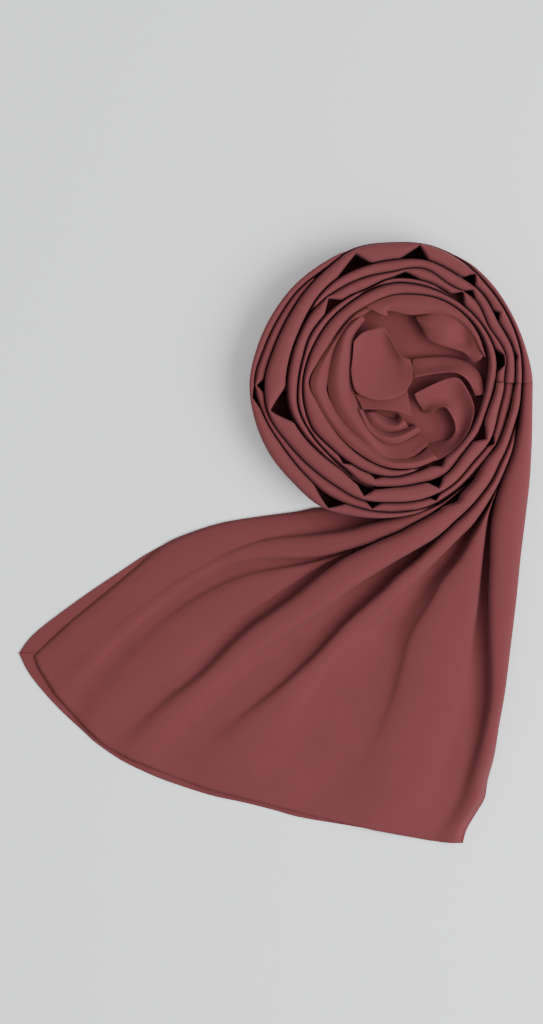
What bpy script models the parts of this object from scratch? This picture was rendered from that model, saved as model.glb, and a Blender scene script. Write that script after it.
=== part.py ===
# Hijab headscarf: one long rectangle of crepe, folded in half lengthwise,
# gathered into pleats, wound into a flat coil and fanned out at its free end.
# Metres, +Z up. The drawing's unit below is set by the cloth's real width.
import math

import bmesh
import bpy
from mathutils import Vector
from mathutils.bvhtree import BVHTree

# Driving sizes
CLOTH_WIDTH = 0.75
CLOTH_LENGTH = 1.80
HEM_UNITS = 507.0
UNIT = CLOTH_WIDTH / 2 / HEM_UNITS
MM = 0.001

LAYER = 1.2 * MM
SEAM = 0.3 * MM
FAN_BASE = LAYER + SEAM
VALLEY_FLOOR = 3.0 * MM
CREVICE = 0.45 * MM
DOME = 6.5 * MM
DOME_POWER = 2.5
OUTER_TUCK = 3.5 * MM
UNDER_CLEARANCE = 1.0 * MM
COIL_CLEARANCE = 0.5 * MM
PRESSED = 0.06 * MM
WALL_SHARE = 0.25
OUTER_FOOT = 0.2 * MM
# A pleat narrower than the full width, in drawing units, stands lower, down to these shares of its height
FULL_WIDTH = 3.5
OUTSIDE_LEAST = 0.6
PRESSED_LEAST = 0.04
# Shares of a pleat's width: a kink's most, a side's slope, and the outer roll's most undercut
KINK_MOST = 0.85
SIDE_SHARE = 0.2
TUCK_SHARE = 0.6

# The fan's last sections lie on the coil at these bearings, their sunk pleats this many millimetres high
THROAT_BEARINGS = (-20, -10, 0, 15)
SUNK = 3.2

# How finely the solids follow the tables
FAN_STEPS = 2
BAND_STEPS = 4
TURN_STEP = 7.5
CORE_RINGS = 19
CORE_SPOKES = 54

# Fold lines of the fan, from the folded right edge to the open left edge.
# A row is one section across the pleats, from the hem up to the throat; x, y in drawing units.
FAN_LINES = (
    "edge", "ridge_e", "valley_de", "ridge_d", "valley_cd", "ridge_c", "valley_bc", "ridge_b",
    "valley_ab", "ridge_g", "valley_ga", "ridge_a", "valley_af", "ridge_f", "left",
)
FAN_SECTIONS = (
    ((463, 843), (457, 843.5), (440, 842), (352, 826), (290, 811), (198, 786), (158, 771.5), (120, 757),
     (90, 733.5), (62, 702), (44, 680), (39, 673), (36, 668), (34, 663), (32, 659)),
    ((485, 799), (477, 800), (462, 803), (360, 790), (305, 782), (226, 752), (193, 747), (155, 731),
     (129, 717), (110, 668), (93, 632), (90, 625), (88, 620), (86, 616), (84, 612)),
    ((493, 758), (484, 760), (474, 764), (370, 742), (322, 738), (262, 714), (235, 719), (192, 702),
     (167, 698), (160, 635), (150, 592), (146, 581), (143, 574), (141, 569), (139, 566)),
    ((505, 690), (496, 692), (486.5, 695), (394, 658), (360, 660), (325, 662), (297, 670), (272, 640),
     (250, 630), (243, 590), (236, 560), (232, 551), (229, 542), (226, 531), (222, 522.5)),
    ((511.5, 635), (499.5, 636), (488.5, 638), (424, 602), (404, 600), (380, 608), (356, 617), (340, 592),
     (322, 572), (316, 563), (312, 558), (306, 548), (300, 538), (298, 525), (296, 512.5)),
    ((515.8, 597), (501, 600), (486.8, 604), (446, 573), (431, 572), (410, 580), (388, 585), (373, 570),
     (357, 550.5), (355, 550), (353, 549.5), (347, 541), (340, 531.5), (336, 521), (333, 512)),
    ((519.5, 558), (504, 560), (486.5, 563), (468, 546), (456, 550), (435, 556), (414, 556), (400, 548),
     (386, 537), (385.5, 536.7), (385, 536.4), (380, 530), (376, 522.5), (375, 520.6), (374.6, 519.3)),
    ((524.5, 515), (509, 516), (490.5, 518), (487.5, 519.5), (483, 520), (468, 519), (452, 519.5), (438, 519.2),
     (423.5, 519.4), (423.3, 519.2), (423.1, 519), (421.3, 515.8), (419.4, 512.4), (419.3, 512.3), (419.2, 512.2)),
    ((528, 482), (514.5, 482), (500.5, 481.5), (500, 482), (499.3, 483), (490, 487), (481, 487.6), (472.3, 488),
     (463.3, 487.4), (463.2, 487.3), (463.1, 487.2), (459.6, 487.4), (456.2, 488), (456.1, 487.9), (456, 487.8)),
    ((529.3, 457), (520.5, 457), (511, 457), (510.6, 457.3), (510.2, 457.6), (503, 460.5), (495.8, 463), (488.5, 463),
     (481.6, 462.7), (481.5, 462.6), (481.4, 462.5), (481.3, 462.4), (481.2, 462.3), (481.1, 462.2), (481, 462.1)),
)
# Crest heights of the pleats in millimetres and how far each section is opened out, one row a section.
FAN_CRESTS = (
    # e, d, c, b, g, a, f, opened
    (4.2, 3.9, 3.8, 4.4, 3.7, 3.2, 3.0, 1.0),
    (6.0, 4.5, 4.6, 5.8, 4.6, 3.6, 3.2, 1.0),
    (8.0, 5.2, 6.5, 8.5, 5.4, 4.6, 3.4, 1.0),
    (10.5, 6.4, 10.5, 14.0, 6.2, 7.5, 3.8, 0.95),
    (14.0, 8.0, 15.5, 19.0, 5.6, 13.0, 4.0, 0.8),
    (18.0, 9.0, 20.0, 23.0, 4.2, 18.0, 4.0, 0.65),
    (22.0, 9.5, 24.5, 27.0, 3.4, 23.0, 3.4, 0.5),
    (27.0, 7.0, 29.0, 31.0, 3.2, 28.0, 3.2, 0.3),
    (31.0, 3.6, 32.0, 33.5, 3.2, 31.0, 3.2, 0.12),
    (33.0, 3.4, 33.5, 34.5, 3.2, 3.4, 3.2, 0.04),
)

# The two wound turns. A row is one section: bearing in degrees, counter-clockwise from the right and counted
# on past a full turn, then the radii of the grooves in drawing units. Where two grooves have one radius,
# the pleat between them is pressed out of sight.
TURN_COLUMNS = ("bearing", "outer", "groove_1", "groove_2", "groove_3")
OUTER_TURN = (
    (-20, 146.7, 132.8, 128.3, 119.7),
    (-10, 141.4, 129.5, 129.0, 119.3),
    (0, 139.5, 128.8, 128.4, 121.8),
    (15, 137.0, 131.0, 130.6, 124.6),
    (30, 137.0, 132.4, 132.0, 121.8),
    (45, 139.5, 134.5, 134.1, 126.0),
    (60, 141.8, 139.0, 138.6, 125.2),
    (75, 142.2, 141.4, 141.0, 126.6),
    (90, 139.8, 139.0, 138.6, 122.2),
    (105, 139.3, 138.5, 138.1, 119.0),
    (120, 137.3, 131.2, 130.8, 116.4),
    (135, 137.0, 131.0, 124.6, 110.8),
    (150, 137.0, 130.0, 121.4, 105.8),
    (165, 138.5, 131.8, 122.2, 104.6),
    (180, 141.4, 136.6, 126.6, 105.4),
    (195, 141.1, 131.2, 126.0, 105.8),
    (210, 140.6, 125.9, 119.3, 102.8),
    (225, 139.6, 125.5, 116.0, 100.0),
    (240, 141.6, 128.0, 116.0, 100.4),
    (255, 137.0, 128.3, 119.5, 107.4),
    (270, 133.6, 128.4, 118.5, 103.8),
    (285, 130.2, 127.7, 119.1, 103.6),
    (300, 124.0, 123.4, 117.3, 105.2),
    (315, 119.9, 119.5, 112.0, 99.5),
    (330, 120.2, 119.8, 112.4, 98.8),
    (345, 118.8, 118.4, 109.0, 98.6),
    (360, 121.2, 120.8, 111.1, 102.5),
)
INNER_TURN = (
    (360, 121.0, 111.1, 102.5),
    (375, 123.8, 115.5, 106.8),
    (390, 121.0, 110.7, 106.5),
    (405, 125.2, 116.5, 104.8),
    (420, 124.4, 112.8, 105.8),
    (435, 125.8, 117.6, 106.0),
    (450, 121.4, 110.3, 104.0),
    (465, 118.2, 108.3, 97.4),
    (480, 115.6, 107.0, 95.6),
    (495, 110.0, 106.8, 94.5),
    (510, 105.0, 104.4, 94.2),
    (525, 103.8, 103.2, 92.0),
    (540, 104.6, 104.0, 93.3),
    (555, 105.0, 104.4, 96.3),
    (570, 102.0, 101.4, 95.4),
    (585, 99.2, 98.8, 95.0),
    (600, 99.5, 99.1, 96.8),
    (610, 102.0, 101.6, 99.8),
)
LAST_TURN = (
    (50, 103.9, 102.6),
    (60, 105.0, 102.5),
    (75, 105.2, 101.1),
    (90, 103.2, 99.3),
    (105, 96.6, 94.0),
    (120, 94.8, 89.9),
    (135, 93.7, 87.9),
    (150, 93.4, 86.6),
    (165, 91.2, 87.2),
    (180, 92.5, 88.8),
    (195, 95.5, 90.4),
    (210, 94.6, 91.4),
    (225, 94.2, 89.0),
    (240, 96.0, 89.8),
    (255, 101.0, 92.3),
    (270, 103.0, 93.4),
    (285, 102.8, 91.2),
    (300, 104.4, 90.6),
    (315, 98.7, 90.5),
    (330, 98.0, 90.7),
    (345, 97.8, 90.8),
    (360, 101.7, 93.5),
    (375, 106.0, 98.6),
    (390, 105.7, 100.2),
    (405, 104.0, 98.7),
    (420, 101.7, 96.0),
    (435, 100.3, 91.0),
    (450, 98.5, 86.6),
    (465, 93.2, 80.4),
    (480, 89.1, 77.2),
    (495, 87.1, 73.5),
    (510, 85.8, 71.4),
    (525, 86.4, 75.5),
    (540, 88.0, 82.0),
    (555, 89.6, 75.5),
    (570, 90.6, 72.7),
    (585, 88.2, 74.0),
    (600, 89.0, 77.0),
    (615, 91.5, 81.2),
    (630, 92.6, 85.7),
    (645, 90.4, 87.4),
    (655, 89.8, 88.6),
)
# Kinks, where the roll outside a groove pinches away from it and leaves a dark three-cornered hole:
# groove, bearing, rise in drawing units, then its reach before and after in degrees.
OUTER_KINKS = (
    ("groove_3", -14, 3.8, 4, 4),
    ("groove_3", 12, 2.0, 3, 3),
    ("groove_3", 33, 4.2, 3, 3),
    ("groove_3", 52.5, 11.0, 3, 4),
    ("groove_3", 78.5, 12.5, 5, 8),
    ("groove_3", 105.8, 13.6, 6, 12),
    ("groove_3", 193, 18.0, 11, 9),
    ("groove_3", 256, 7.6, 5, 5),
    ("groove_3", 294, 8.6, 5, 5),
    ("groove_3", 329, 9.0, 5, 9),
    ("groove_2", 181, 7.2, 3, 3.5),
    ("groove_2", 261, 6.2, 4, 4),
    ("groove_2", 290.5, 5.2, 3, 3),
    ("groove_2", 329, 4.6, 3, 4),
    ("groove_1", 186, 3.6, 5, 5),
    ("groove_1", 243, 10.8, 11, 6),
)
INNER_KINKS = (
    ("groove_3", 370.8, 13.0, 5, 8),
    ("groove_3", 412, 9.0, 5, 5),
    ("groove_3", 443, 5.5, 8, 8),
    ("groove_3", 487, 9.4, 6, 8),
    ("groove_2", 409, 5.0, 4, 4),
)
LAST_KINKS = (
    ("groove_3", 238.5, 3.6, 5, 5),
    ("groove_3", 260, 3.4, 4, 4),
    ("groove_3", 301, 5.2, 6, 5),
)
# Crest heights of the rolls above the table, in millimetres.
OUTER_CRESTS = (33.5, 31.5, 35.5)
INNER_CRESTS = (34.5, 33.0)
LAST_CRESTS = (32.5,)

# The core: the inner end turned over. A patch is a row for each section across it: far edge, middle, near edge,
# as x, y in drawing units and the height in millimetres.
CORE_PATCHES = {
    "bed": (
        ((300, 290, 15), (391, 290, 15), (490, 290, 15)),
        ((300, 384, 15), (391, 384, 15), (490, 384, 15)),
        ((300, 478, 15), (391, 478, 15), (490, 478, 15)),
    ),
    "rim_band": (
        ((373, 308, 31), (368, 313, 32), (362, 318, 29)),
        ((353, 317, 31), (352, 321, 33), (348, 325, 29)),
        ((329, 348, 31), (331, 350, 33), (333, 351, 29)),
        ((311, 380, 31), (318, 382, 33), (326, 382, 29)),
        ((316, 402, 31), (321, 400, 33), (327, 397, 29)),
        ((334, 430, 31), (337, 427, 33), (341, 423, 29)),
        ((354, 450, 31), (358, 445, 33), (361, 440, 28)),
        ((382, 466, 31), (384, 462, 32.5), (385, 458, 28)),
        ((412, 468, 31), (413, 463, 32), (411, 459, 27)),
        ((436, 459, 30), (433, 456, 31), (428, 449, 25)),
    ),
    "cradle": (
        ((358, 316, 27), (361, 318, 30), (364, 321, 27)),
        ((341, 331, 28), (347, 334, 32), (353, 337, 27)),
        ((330, 360, 28), (340, 361, 32.5), (350, 362, 26)),
        ((328, 389, 28), (339, 388, 32), (352, 390, 24)),
        ((338, 417, 28), (348, 411, 31.5), (361, 410, 23)),
        ((359, 440, 28), (365, 434, 31), (371, 428, 23)),
        ((385, 457, 27), (386, 451, 25), (387, 444, 22)),
        ((409, 457, 26), (409, 449, 23), (407, 440, 20)),
        ((427, 444, 23), (423, 440, 21), (417, 434, 18)),
    ),
    "cradle_roll": (
        ((356, 410, 26), (359, 410, 28), (362, 410, 24)),
        ((366, 432, 26), (368, 429, 29), (369, 424, 23)),
        ((379, 442, 25), (379, 437, 29), (380, 432, 23)),
        ((393, 444, 25), (392, 439, 28.5), (391, 434, 23)),
        ((407, 439, 23), (405, 435, 27), (403, 431, 22)),
        ((420, 431, 20), (417, 428, 24), (414, 425, 20)),
    ),
    "top_petal": (
        ((366, 309, 31), (377, 315, 32), (386, 318, 29)),
        ((389, 299, 31), (391, 306, 33), (388, 312, 30)),
        ((415, 298, 31), (412, 307, 33), (410, 316, 30)),
        ((439, 303, 31), (435, 310, 33), (431, 315, 30)),
        ((460, 316, 31), (456, 319, 33), (452, 321, 30)),
        ((475, 335, 31), (471, 334, 33), (467, 334, 30)),
        ((483, 358, 31), (480, 354, 33), (476, 350, 30)),
    ),
    "right_petal": (
        ((414, 318, 24), (416, 322, 26), (418, 325, 24)),
        ((432, 316, 29), (428, 327, 30), (426, 338, 26)),
        ((450, 320, 30), (445, 333, 31.5), (438, 345, 27)),
        ((464, 330, 30), (462, 341, 26), (451, 349, 28)),
        ((475, 343, 30), (470, 351, 29), (463, 354, 28)),
        ((482, 356, 30), (478, 361, 31), (473, 364, 28)),
    ),
    "arc_fold": (
        ((411, 361, 21), (411, 371, 24), (412, 378, 27)),
        ((430, 359, 21), (430, 368, 24), (430, 375, 28)),
        ((449, 359, 21), (449, 367, 25), (449, 373, 29)),
        ((466, 364, 22), (463, 370, 26), (460, 376, 29)),
        ((478, 376, 24), (473, 380, 27), (468, 384, 28)),
        ((482, 395, 26), (478, 396, 28), (474, 397, 27)),
    ),
    "cup": (
        ((413, 395, 26), (416, 402, 23), (420, 408, 19)),
        ((429, 387, 29), (428, 398, 24), (423, 412, 19)),
        ((447, 380, 31), (440, 395, 24), (430, 412, 24)),
        ((459, 382, 31), (450, 397, 23), (438, 408, 26)),
        ((471, 405, 30), (461, 409, 23), (446, 409, 27)),
        ((470, 421, 30), (463, 423, 23), (453, 421, 27)),
        ((464, 435, 30), (460, 437, 24), (454, 433, 25)),
        ((451, 451, 29), (449, 446, 24), (447, 441, 21)),
        ((436, 460, 28), (436, 452, 24), (437, 442, 16)),
        ((417, 463, 28), (419, 457, 24), (424, 447, 18)),
        ((398, 462, 28), (400, 459.5, 27), (403, 458, 24)),
    ),
    "tongue": (
        ((354, 395, 24), (358, 402, 25), (362, 410, 27)),
        ((372, 397, 24), (374, 403, 25), (376, 410, 27)),
        ((392, 395, 24), (393, 403, 25), (394, 412, 27)),
        ((406, 391, 24), (408, 403, 25), (410, 417, 27)),
    ),
    "small_roll": (
        ((363, 413, 21), (370, 413, 24), (376, 413, 21)),
        ((367, 425, 21), (376, 421, 25), (382, 417, 20)),
        ((379, 432, 21), (385, 426, 25), (390, 420, 18)),
        ((394, 433, 21), (396, 427, 25), (396, 419, 17)),
        ((408, 428, 20), (403, 421, 24), (398, 415, 19)),
    ),
    "left_petal": (
        ((353, 343, 30), (352, 358, 29), (350, 372, 28)),
        ((361, 335, 30), (361, 355, 27), (354, 391, 29)),
        ((372, 331, 30), (373, 357, 25), (364, 398, 29)),
        ((383, 330, 30), (384, 360, 24), (376, 401, 29)),
        ((393, 347, 30), (394, 366, 25), (390, 400, 29)),
        ((400, 358, 30), (402, 370, 27), (403, 394, 29)),
        ((409, 361, 30), (411, 370, 29), (411, 381, 29)),
    ),
}
CORE_MARGIN = 0.8

COLOURS = {
    "fan_under_layer": (0.20, 0.065, 0.07),
    "fan_upper_layer": (0.25, 0.078, 0.085),
    "outer_turn": (0.27, 0.085, 0.092),
    "inner_turn": (0.27, 0.085, 0.092),
    "last_turn": (0.26, 0.08, 0.088),
    "core": (0.25, 0.078, 0.085),
}
CLOTH_ROUGHNESS = 0.85

# Middle of the coil in the drawing, which is the working origin
COIL_X = 391.0
COIL_Y = 384.0

# Edge of the under layer where it peeks out past the upper one, from the hem round the left corner to the coil
UNDER_EDGE = (
    (462, 843), (440, 842), (401, 833), (380, 830.5), (340, 824), (299, 817), (274, 810), (244, 802.5), (210, 795),
    (167, 781), (143, 771), (121, 760), (97, 743.6), (83, 731), (61.5, 711), (40, 685), (25.6, 668), (19, 652),
    (26, 642), (40, 629.5), (58, 615), (88, 592.8), (118, 572.7), (148, 553), (173.7, 540), (210, 525),
)


def drawn(x, y, height=0.0):
    return Vector(((x - COIL_X) * UNIT, (COIL_Y - y) * UNIT, height))


def polar(bearing, radius, height=0.0):
    angle = math.radians(bearing)
    return Vector((radius * math.cos(angle), radius * math.sin(angle), height))


def smooth(rows, position):
    """Catmull-Rom through rows of numbers, at a position counted in rows."""
    last = len(rows) - 1
    i = min(int(position), last - 1)
    t = position - i
    a, b, c, d = (rows[max(i - 1, 0)], rows[i], rows[i + 1], rows[min(i + 2, last)])
    return tuple(
        0.5 * (2 * q + (r - p) * t + (2 * p - 5 * q + 4 * r - s) * t * t + (3 * q - p - 3 * r + s) * t ** 3)
        for p, q, r, s in zip(a, b, c, d)
    )


def at_bearing(table, bearing):
    """The table's row at a bearing, smoothed between its rows."""
    i = 0
    while i < len(table) - 2 and table[i + 1][0] <= bearing:
        i += 1
    share = (bearing - table[i][0]) / (table[i + 1][0] - table[i][0])
    return smooth(table, i + share)


def kink_rise(kinks, groove, bearing):
    rise = 0.0
    for name, middle, height, before, after in kinks:
        reach = before if bearing < middle else after
        away = abs(bearing - middle) / reach
        if name == groove and away < 1:
            rise = max(rise, height * (1 - away))
    return rise * UNIT


def band(start, crest_point, end, floors, crest, insets, opened, dome):
    """Points over one pleat, from its outer foot over the crest to its inner foot."""
    points = []
    for k in range(-BAND_STEPS, BAND_STEPS + 1):
        share = abs(k) / BAND_STEPS
        foot, floor, inset = (start, floors[0], insets[0]) if k < 0 else (end, floors[1], insets[1])
        reach = (foot - crest_point).length
        edge = crest_point.lerp(foot, max(0.0, 1 - inset / reach)) if reach > 1e-9 else foot
        shoulder = max(crest - dome, floor + 0.2 * (crest - floor))
        if share > 1 - WALL_SHARE - 1e-6:
            wall = (share - 1 + WALL_SHARE) / WALL_SHARE
            across = 1.0
            packed = shoulder + (floor - shoulder) * wall
        else:
            turn = share / (1 - WALL_SHARE) * math.pi / 2
            across = math.sin(turn) ** (2 / DOME_POWER)
            packed = shoulder + (crest - shoulder) * math.cos(turn) ** (2 / DOME_POWER)
        loose = floor + (crest - floor) * (0.5 + 0.5 * math.cos(math.pi * share))
        across += (share - across) * opened
        point = crest_point.lerp(edge, across)
        point.z = packed + (loose - packed) * opened
        points.append(point)
    return points


def section(lines, floors, crests, insets, opened, dome=DOME):
    """A whole section: its pleats side by side. lines run foot, crest, foot, crest ... foot."""
    points = []
    for n, crest in enumerate(crests):
        start, middle, end = lines[2 * n: 2 * n + 3]
        points += band(start, middle, end, floors[n: n + 2], crest, insets[n], opened, dome)
    return points


def closed_strip(name, sections, base, marks):
    """A closed solid under a row of sections: the sections on top, a flat base and an end at each side.
    marks are the places in a section with a point of the base under them."""
    bm = bmesh.new()
    tops = [[bm.verts.new(p) for p in points] for points in sections]
    bottoms = []
    for points in sections:
        bottoms.append([bm.verts.new((points[m].x, points[m].y, base)) for m in marks])
    for rows in (tops, bottoms):
        for a, b in zip(rows, rows[1:]):
            for i in range(len(a) - 1):
                bm.faces.new((a[i], b[i], b[i + 1], a[i + 1]))
    for side in (0, -1):
        for a, b, c, d in zip(tops, tops[1:], bottoms, bottoms[1:]):
            bm.faces.new((a[side], c[side], d[side], b[side]))
    for row, low in ((tops[0], bottoms[0]), (tops[-1], bottoms[-1])):
        for i, (m, n) in enumerate(zip(marks, marks[1:])):
            bm.faces.new([low[i], low[i + 1]] + [row[k] for k in range(n, m - 1, -1)])
    bmesh.ops.recalc_face_normals(bm, faces=bm.faces)
    return make_object(name, bm)


def make_object(name, bm):
    mesh = bpy.data.meshes.new(name)
    bm.to_mesh(mesh)
    bm.free()
    thing = bpy.data.objects.new(name, mesh)
    scarf.objects.link(thing)
    material = bpy.data.materials.new(name)
    material.use_nodes = True
    shader = material.node_tree.nodes["Principled BSDF"]
    shader.inputs["Base Color"].default_value = (*COLOURS[name], 1.0)
    shader.inputs["Roughness"].default_value = CLOTH_ROUGHNESS
    shader.inputs["Metallic"].default_value = 0.0
    mesh.materials.append(material)
    mesh.shade_smooth()
    return thing


def fan_position(step):
    """Fold lines, crests and openness at a step counted in rows; the last rows lie on the coil's first bearings."""
    rows = [tuple(v for point in row for v in point) for row in FAN_SECTIONS]
    rows += [throat_row(bearing) for bearing in THROAT_BEARINGS]
    flat = smooth(rows, step)
    low = smooth(FAN_CRESTS + tuple(throat_crests(bearing) for bearing in THROAT_BEARINGS), step)
    last = len(FAN_LINES) - 1
    lines = [clear_of_coil(drawn(flat[2 * i], flat[2 * i + 1]), last - i) for i in range(len(FAN_LINES))]
    return lines, [c * MM for c in low[:7]], min(1.0, max(0.0, low[7]))


def clear_of_coil(point, order):
    """The point, or the nearest one outside the wound coil where the fan runs round it, in its order from there."""
    bearing = math.degrees(math.atan2(point.y, point.x)) % 360
    if not 200 < bearing < 359.9:
        return point
    least = at_bearing(OUTER_TURN, bearing)[1] * UNIT + COIL_CLEARANCE + order * PRESSED
    return point if point.length >= least else polar(bearing, least)


def throat_row(bearing):
    """Where the fan's fold lines cross a bearing of the coil, in drawing units."""
    _, outer, one, two, three = at_bearing(OUTER_TURN, bearing)
    pressed = PRESSED / UNIT
    radii = [outer, (outer + one) / 2, one + 3 * pressed, one + 2 * pressed, one + pressed]
    radii += [(one + two) / 2, two, (two + three) / 2]
    radii += [three + pressed * (6 - k) for k in range(7)]
    row = ()
    for radius in radii:
        point = polar(bearing, radius)
        row += (COIL_X + point.x, COIL_Y - point.y)
    return row


def throat_crests(bearing):
    grooves = [r * UNIT for r in at_bearing(OUTER_TURN, bearing)[1:]]
    one, two, three = packed_profile(grooves, OUTER_CRESTS)[0]
    return (one / MM, SUNK, two / MM, three / MM, SUNK, SUNK, SUNK, 0.0)


def fan_section(step):
    lines, crests, opened = fan_position(step)
    floors = [FAN_BASE + 0.2 * MM] + [VALLEY_FLOOR] * 6 + [FAN_BASE + 0.9 * MM]
    insets = [(0.0, CREVICE)] + [(CREVICE, CREVICE)] * 5 + [(CREVICE, 0.0)]
    crests = [max(c, VALLEY_FLOOR + 0.2 * MM) for c in crests]
    for n in range(7):
        width = (lines[2 * n] - lines[2 * n + 2]).length
        if width < 3 * CREVICE:
            insets[n] = (width * 0.2, width * 0.2)
    return section(lines, floors, crests, insets, opened, 0.45 * max(crests))


def fan_upper_layer():
    last = len(FAN_SECTIONS) + 2 - 0.02
    steps = [k / FAN_STEPS for k in range(int(last * FAN_STEPS) + 1)] + [last]
    pleats = len(FAN_LINES) // 2
    per_pleat = 2 * BAND_STEPS + 1
    marks = [n * per_pleat + k for n in range(pleats) for k in (0, BAND_STEPS, per_pleat - 1)]
    return closed_strip("fan_upper_layer", [fan_section(step) for step in steps], FAN_BASE, marks)


def fan_under_layer():
    """One flat layer on the table, cut to the outline under the fan."""
    right = [fan_position(k / 2)[0][0] for k in range(2, 2 * len(FAN_SECTIONS) + 4)]
    left = [fan_position(k / 2)[0][-1] for k in range(7, 2 * len(FAN_SECTIONS) + 4)]
    inward = 1.5 * MM
    outline = [p + Vector((-inward, 0, 0)) for p in reversed(right)]
    outline += [drawn(x, y) for x, y in UNDER_EDGE]
    outline += [p + p.normalized() * UNDER_CLEARANCE for p in left]
    bm = bmesh.new()
    face = bm.faces.new([bm.verts.new((p.x, p.y, 0)) for p in outline])
    raised = bmesh.ops.extrude_face_region(bm, geom=[face])
    top = [v for v in raised["geom"] if isinstance(v, bmesh.types.BMVert)]
    bmesh.ops.translate(bm, verts=top, vec=(0, 0, LAYER))
    bmesh.ops.recalc_face_normals(bm, faces=bm.faces)
    return make_object("fan_under_layer", bm)


def shown_share(width):
    return min(1.0, width / (FULL_WIDTH * UNIT))


def packed_profile(grooves, crest_heights):
    """Crest heights of the pleats between the grooves, and the floors of the grooves, in metres.
    A pleat pressed thin outside the others is a low step on their wall, with no crevice behind it."""
    crests = []
    floors = [OUTER_FOOT]
    hidden = 1.0
    for n, height in enumerate(crest_heights):
        share = shown_share(grooves[n] - grooves[n + 1])
        least = OUTSIDE_LEAST if n == 0 else PRESSED_LEAST
        crest = VALLEY_FLOOR + (height * MM - VALLEY_FLOOR) * max(least, share)
        hidden = min(hidden, 1 - share)
        step = crests[0] if crests else crest
        floors.append(VALLEY_FLOOR + (step - VALLEY_FLOOR) * hidden)
        crests.append(max(crest, floors[n], floors[n + 1]))
    floors[-1] = VALLEY_FLOOR
    return crests, floors


def turn_section(table, columns, kinks, crest_heights, bearing, tuck):
    grooves = [r * UNIT for r in at_bearing(table, bearing)[1:]]
    radii = []
    insets = []
    for n, (outer, inner) in enumerate(zip(grooves, grooves[1:])):
        width = outer - inner
        lift = min(kink_rise(kinks, columns[n + 1], bearing), KINK_MOST * width)
        side = min(CREVICE, SIDE_SHARE * width)
        insets.append((0.0 if n == 0 else side, side + lift))
        radii += [outer, (outer + inner + lift) / 2]
    radii.append(grooves[-1])
    lines = [polar(bearing, r) for r in radii]
    crests, floors = packed_profile(grooves, crest_heights)
    points = section(lines, floors, crests, insets, 0.0)
    behind = 1 - floors[1] / points[1].z
    if behind > 0:
        tuck = min(tuck, TUCK_SHARE * (grooves[0] - grooves[1]) / behind)
    points[0] -= tuck * polar(bearing, 1.0)
    ledge = lines[-1].copy()
    ledge.z = VALLEY_FLOOR - LAYER
    return points + [ledge]


def bearings_of(table, kinks, step):
    first, last = table[0][0], table[-1][0]
    count = round((last - first) / step)
    found = {first + (last - first) * k / count for k in range(count + 1)}
    for _, middle, _, before, after in kinks:
        for extra in (middle - before, middle, middle + after):
            near = [b for b in found if abs(b - extra) < 1.3 and first < b < last]
            found -= set(near)
            if first < extra < last:
                found.add(extra)
    return sorted(found)


def wound_turn(name, table, columns, kinks, crest_heights, tuck=0.0):
    sections = []
    for bearing in bearings_of(table, kinks, TURN_STEP):
        sections.append(turn_section(table, columns, kinks, crest_heights, bearing, tuck))
    return closed_strip(name, sections, 0.0, [0, len(sections[0]) - 1])


def patch_point(rows, along, across):
    sections = [tuple(v for point in row for v in point) for row in rows]
    flat = smooth(sections, along)
    points = [flat[0:3], flat[3:6], flat[6:9]]
    x, y, height = smooth(points, across)
    return drawn(x, y, height * MM)


def core_cover():
    """All the core's patches as one mesh that only gives heights."""
    verts, faces = [], []
    for rows in CORE_PATCHES.values():
        along = 4 * (len(rows) - 1)
        across = 6
        first = len(verts)
        for i in range(along + 1):
            for j in range(across + 1):
                verts.append(patch_point(rows, i / 4, 2 * j / across))
        for i in range(along):
            for j in range(across):
                a = first + i * (across + 1) + j
                faces.append((a, a + 1, a + across + 2, a + across + 1))
    return BVHTree.FromPolygons(verts, faces)


def core():
    """A rounded solid under the folds of the core, with their steps, bounded by the last turn."""
    cover = core_cover()
    edge_rows = [(b, r) for b, _, r in LAST_TURN if b >= 315]
    edge_rows = edge_rows[:1] + [(b, r) for b, r in edge_rows if 315 < b <= 655] + [(675, 90.5)]
    bm = bmesh.new()
    rings = []
    for k in range(CORE_SPOKES):
        bearing = 315 + 360 * k / CORE_SPOKES
        rim = (at_bearing(edge_rows, bearing)[1] - CORE_MARGIN) * UNIT
        spoke = []
        for j in range(1, CORE_RINGS + 1):
            point = polar(bearing, rim * j / CORE_RINGS)
            hit = cover.ray_cast(Vector((point.x, point.y, 0.1)), Vector((0, 0, -1)))
            point.z = hit[0].z if hit[0] else 15 * MM
            spoke.append(bm.verts.new(point))
        spoke.append(bm.verts.new((point.x, point.y, 0)))
        rings.append(spoke)
    hit = cover.ray_cast(Vector((0, 0, 0.1)), Vector((0, 0, -1)))
    middle = bm.verts.new((0, 0, hit[0].z))
    for a, b in zip(rings, rings[1:] + rings[:1]):
        bm.faces.new((middle, a[0], b[0]))
        for j in range(CORE_RINGS):
            bm.faces.new((a[j], a[j + 1], b[j + 1], b[j]))
    bm.faces.new([spoke[-1] for spoke in reversed(rings)])
    bmesh.ops.recalc_face_normals(bm, faces=bm.faces)
    return make_object("core", bm)


def stand_on_origin(things):
    """Moves everything so that the whole rests on z = 0 with its middle over the origin."""
    corners = [v.co for thing in things for v in thing.data.vertices]
    low = Vector([min(c[i] for c in corners) for i in range(3)])
    high = Vector([max(c[i] for c in corners) for i in range(3)])
    shift = Vector((-(low.x + high.x) / 2, -(low.y + high.y) / 2, -low.z))
    for thing in things:
        for vertex in thing.data.vertices:
            vertex.co += shift


for old in list(bpy.data.objects):
    bpy.data.objects.remove(old)
scarf = bpy.data.collections.new("hijab_headscarf")
bpy.context.scene.collection.children.link(scarf)

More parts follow.
